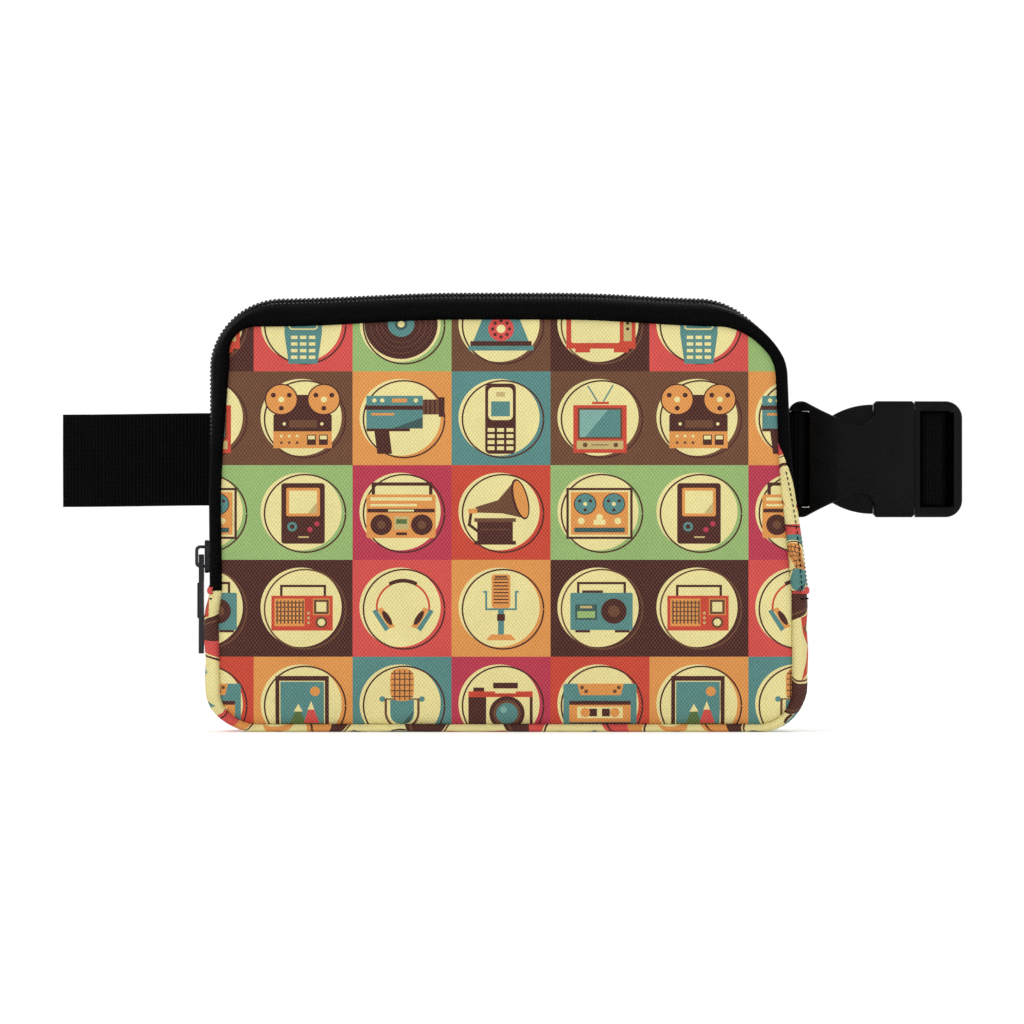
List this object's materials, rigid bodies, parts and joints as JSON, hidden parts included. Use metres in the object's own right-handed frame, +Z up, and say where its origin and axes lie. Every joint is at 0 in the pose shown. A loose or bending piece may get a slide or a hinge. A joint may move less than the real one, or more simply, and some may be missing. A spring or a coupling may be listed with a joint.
{
  "type": "waist pack",
  "caption": "Soft zip-round waist pack with a printed panel, a zipped back pocket, webbing straps and a side-release buckle.",
  "frame": {"origin": "on the flat bottom, under the middle of the bag", "axes": "+Z up, +X to the right seen from the front, front panel facing -Y"},
  "size_m": [0.2899, 0.057, 0.1406],
  "materials": {
    "printed_fabric": "woven polyester with a multicolour print",
    "lining_fabric": "thin plain-woven polyester",
    "binding_tape": "narrow woven tape",
    "zip_tape": "tightly woven tape",
    "zip_coil": "nylon coil",
    "zip_metal": "glossy black enamel",
    "webbing": "ribbed polyester webbing",
    "buckle_plastic": "satin moulded acetal"
  },
  "bodies": {
    "pack_body": {"front_panel_base": "printed_fabric", "front_lining_base": "lining_fabric", "front_binding_base": "binding_tape", "main_tape_front_base": "zip_tape", "main_coil_front_base": "zip_coil", "main_tape_back": "zip_tape", "main_coil_back": "zip_coil", "main_zip_stops": "zip_metal", "gusset_band": "printed_fabric", "gusset_lining": "lining_fabric", "bottom_gusset": "printed_fabric", "bottom_lining": "lining_fabric", "back_panel_top": "printed_fabric", "back_panel_base": "printed_fabric", "back_binding": "binding_tape", "pocket_divider": "lining_fabric", "pocket_tape_upper": "zip_tape", "pocket_tape_lower": "zip_tape", "pocket_coil_upper": "zip_coil", "pocket_coil_lower": "zip_coil", "pocket_zip_stops": "zip_metal", "left_strap_anchor": "webbing", "right_strap_anchor": "webbing"},
    "front_flap": {"front_panel_flap": "printed_fabric", "front_lining_flap": "lining_fabric", "front_binding_flap": "binding_tape", "main_tape_front_flap": "zip_tape", "main_coil_front_flap": "zip_coil"},
    "main_slider": {"main_slider": "zip_metal"},
    "main_puller": {"main_puller": "zip_metal"},
    "pocket_slider": {"pocket_slider": "zip_metal"},
    "pocket_puller": {"pocket_puller": "zip_metal"},
    "left_strap": {"left_strap": "webbing"},
    "right_strap": {"right_strap_loop": "webbing"},
    "buckle_socket": {"buckle_socket": "buckle_plastic"},
    "buckle_latch": {"buckle_latch": "buckle_plastic", "adjuster_webbing": "webbing"},
    "latch_arm_upper": {"latch_arm_upper": "buckle_plastic"},
    "latch_arm_lower": {"latch_arm_lower": "buckle_plastic"}
  },
  "joints": [
    {"name": "front_flap_fold", "type": "hinge", "parent": "pack_body", "child": "front_flap", "pos_m": [0, -0.026, 0.066], "axis": [1, 0, 0], "range_deg": [0, 75]},
    {"name": "main_slider_travel", "type": "slide", "parent": "pack_body", "child": "main_slider", "axis": [0, 0, 1], "range_m": [0, 0.05]},
    {"name": "main_puller_swing", "type": "hinge", "parent": "main_slider", "child": "main_puller", "pos_m": [-0.0975, -0.017, 0.0558], "axis": [0, 1, 0], "range_deg": [0, 165]},
    {"name": "pocket_slider_travel", "type": "slide", "parent": "pack_body", "child": "pocket_slider", "axis": [-1, 0, 0], "range_m": [0, 0.154]},
    {"name": "pocket_puller_swing", "type": "hinge", "parent": "pocket_slider", "child": "pocket_puller", "pos_m": [0.07705, 0.029, 0.10325], "axis": [1, 0, 0], "range_deg": [0, 165]},
    {"name": "left_strap_swing", "type": "hinge", "parent": "pack_body", "child": "left_strap", "pos_m": [-0.0882, 0.0229, 0.087], "axis": [0, 0, -1], "range_deg": [-20, 60]},
    {"name": "right_strap_swing", "type": "hinge", "parent": "pack_body", "child": "right_strap", "pos_m": [0.0889, 0.0229, 0.087], "axis": [0, 0, 1], "range_deg": [-20, 45]},
    {"name": "socket_pivot", "type": "hinge", "parent": "right_strap", "child": "buckle_socket", "pos_m": [0.0932, 0.0229, 0.087], "axis": [0, 0, 1], "range_deg": [-30, 40]},
    {"name": "buckle_release", "type": "slide", "parent": "buckle_socket", "child": "buckle_latch", "axis": [1, 0, 0], "range_m": [0, 0.032], "deforming": ["latch_arm_upper", "latch_arm_lower"]},
    {"name": "upper_arm_squeeze", "type": "hinge", "parent": "buckle_latch", "child": "latch_arm_upper", "pos_m": [0.1257, 0.0229, 0.10045], "axis": [0, -1, 0], "range_deg": [0, 8], "stiffness_Nm_per_rad": 0.3},
    {"name": "lower_arm_squeeze", "type": "hinge", "parent": "buckle_latch", "child": "latch_arm_lower", "pos_m": [0.1257, 0.0229, 0.07355], "axis": [0, 1, 0], "range_deg": [0, 8], "stiffness_Nm_per_rad": 0.3}
  ],
  "couplings": [
    {"joint": "lower_arm_squeeze", "follows": "upper_arm_squeeze", "ratio": 1}
  ]
}
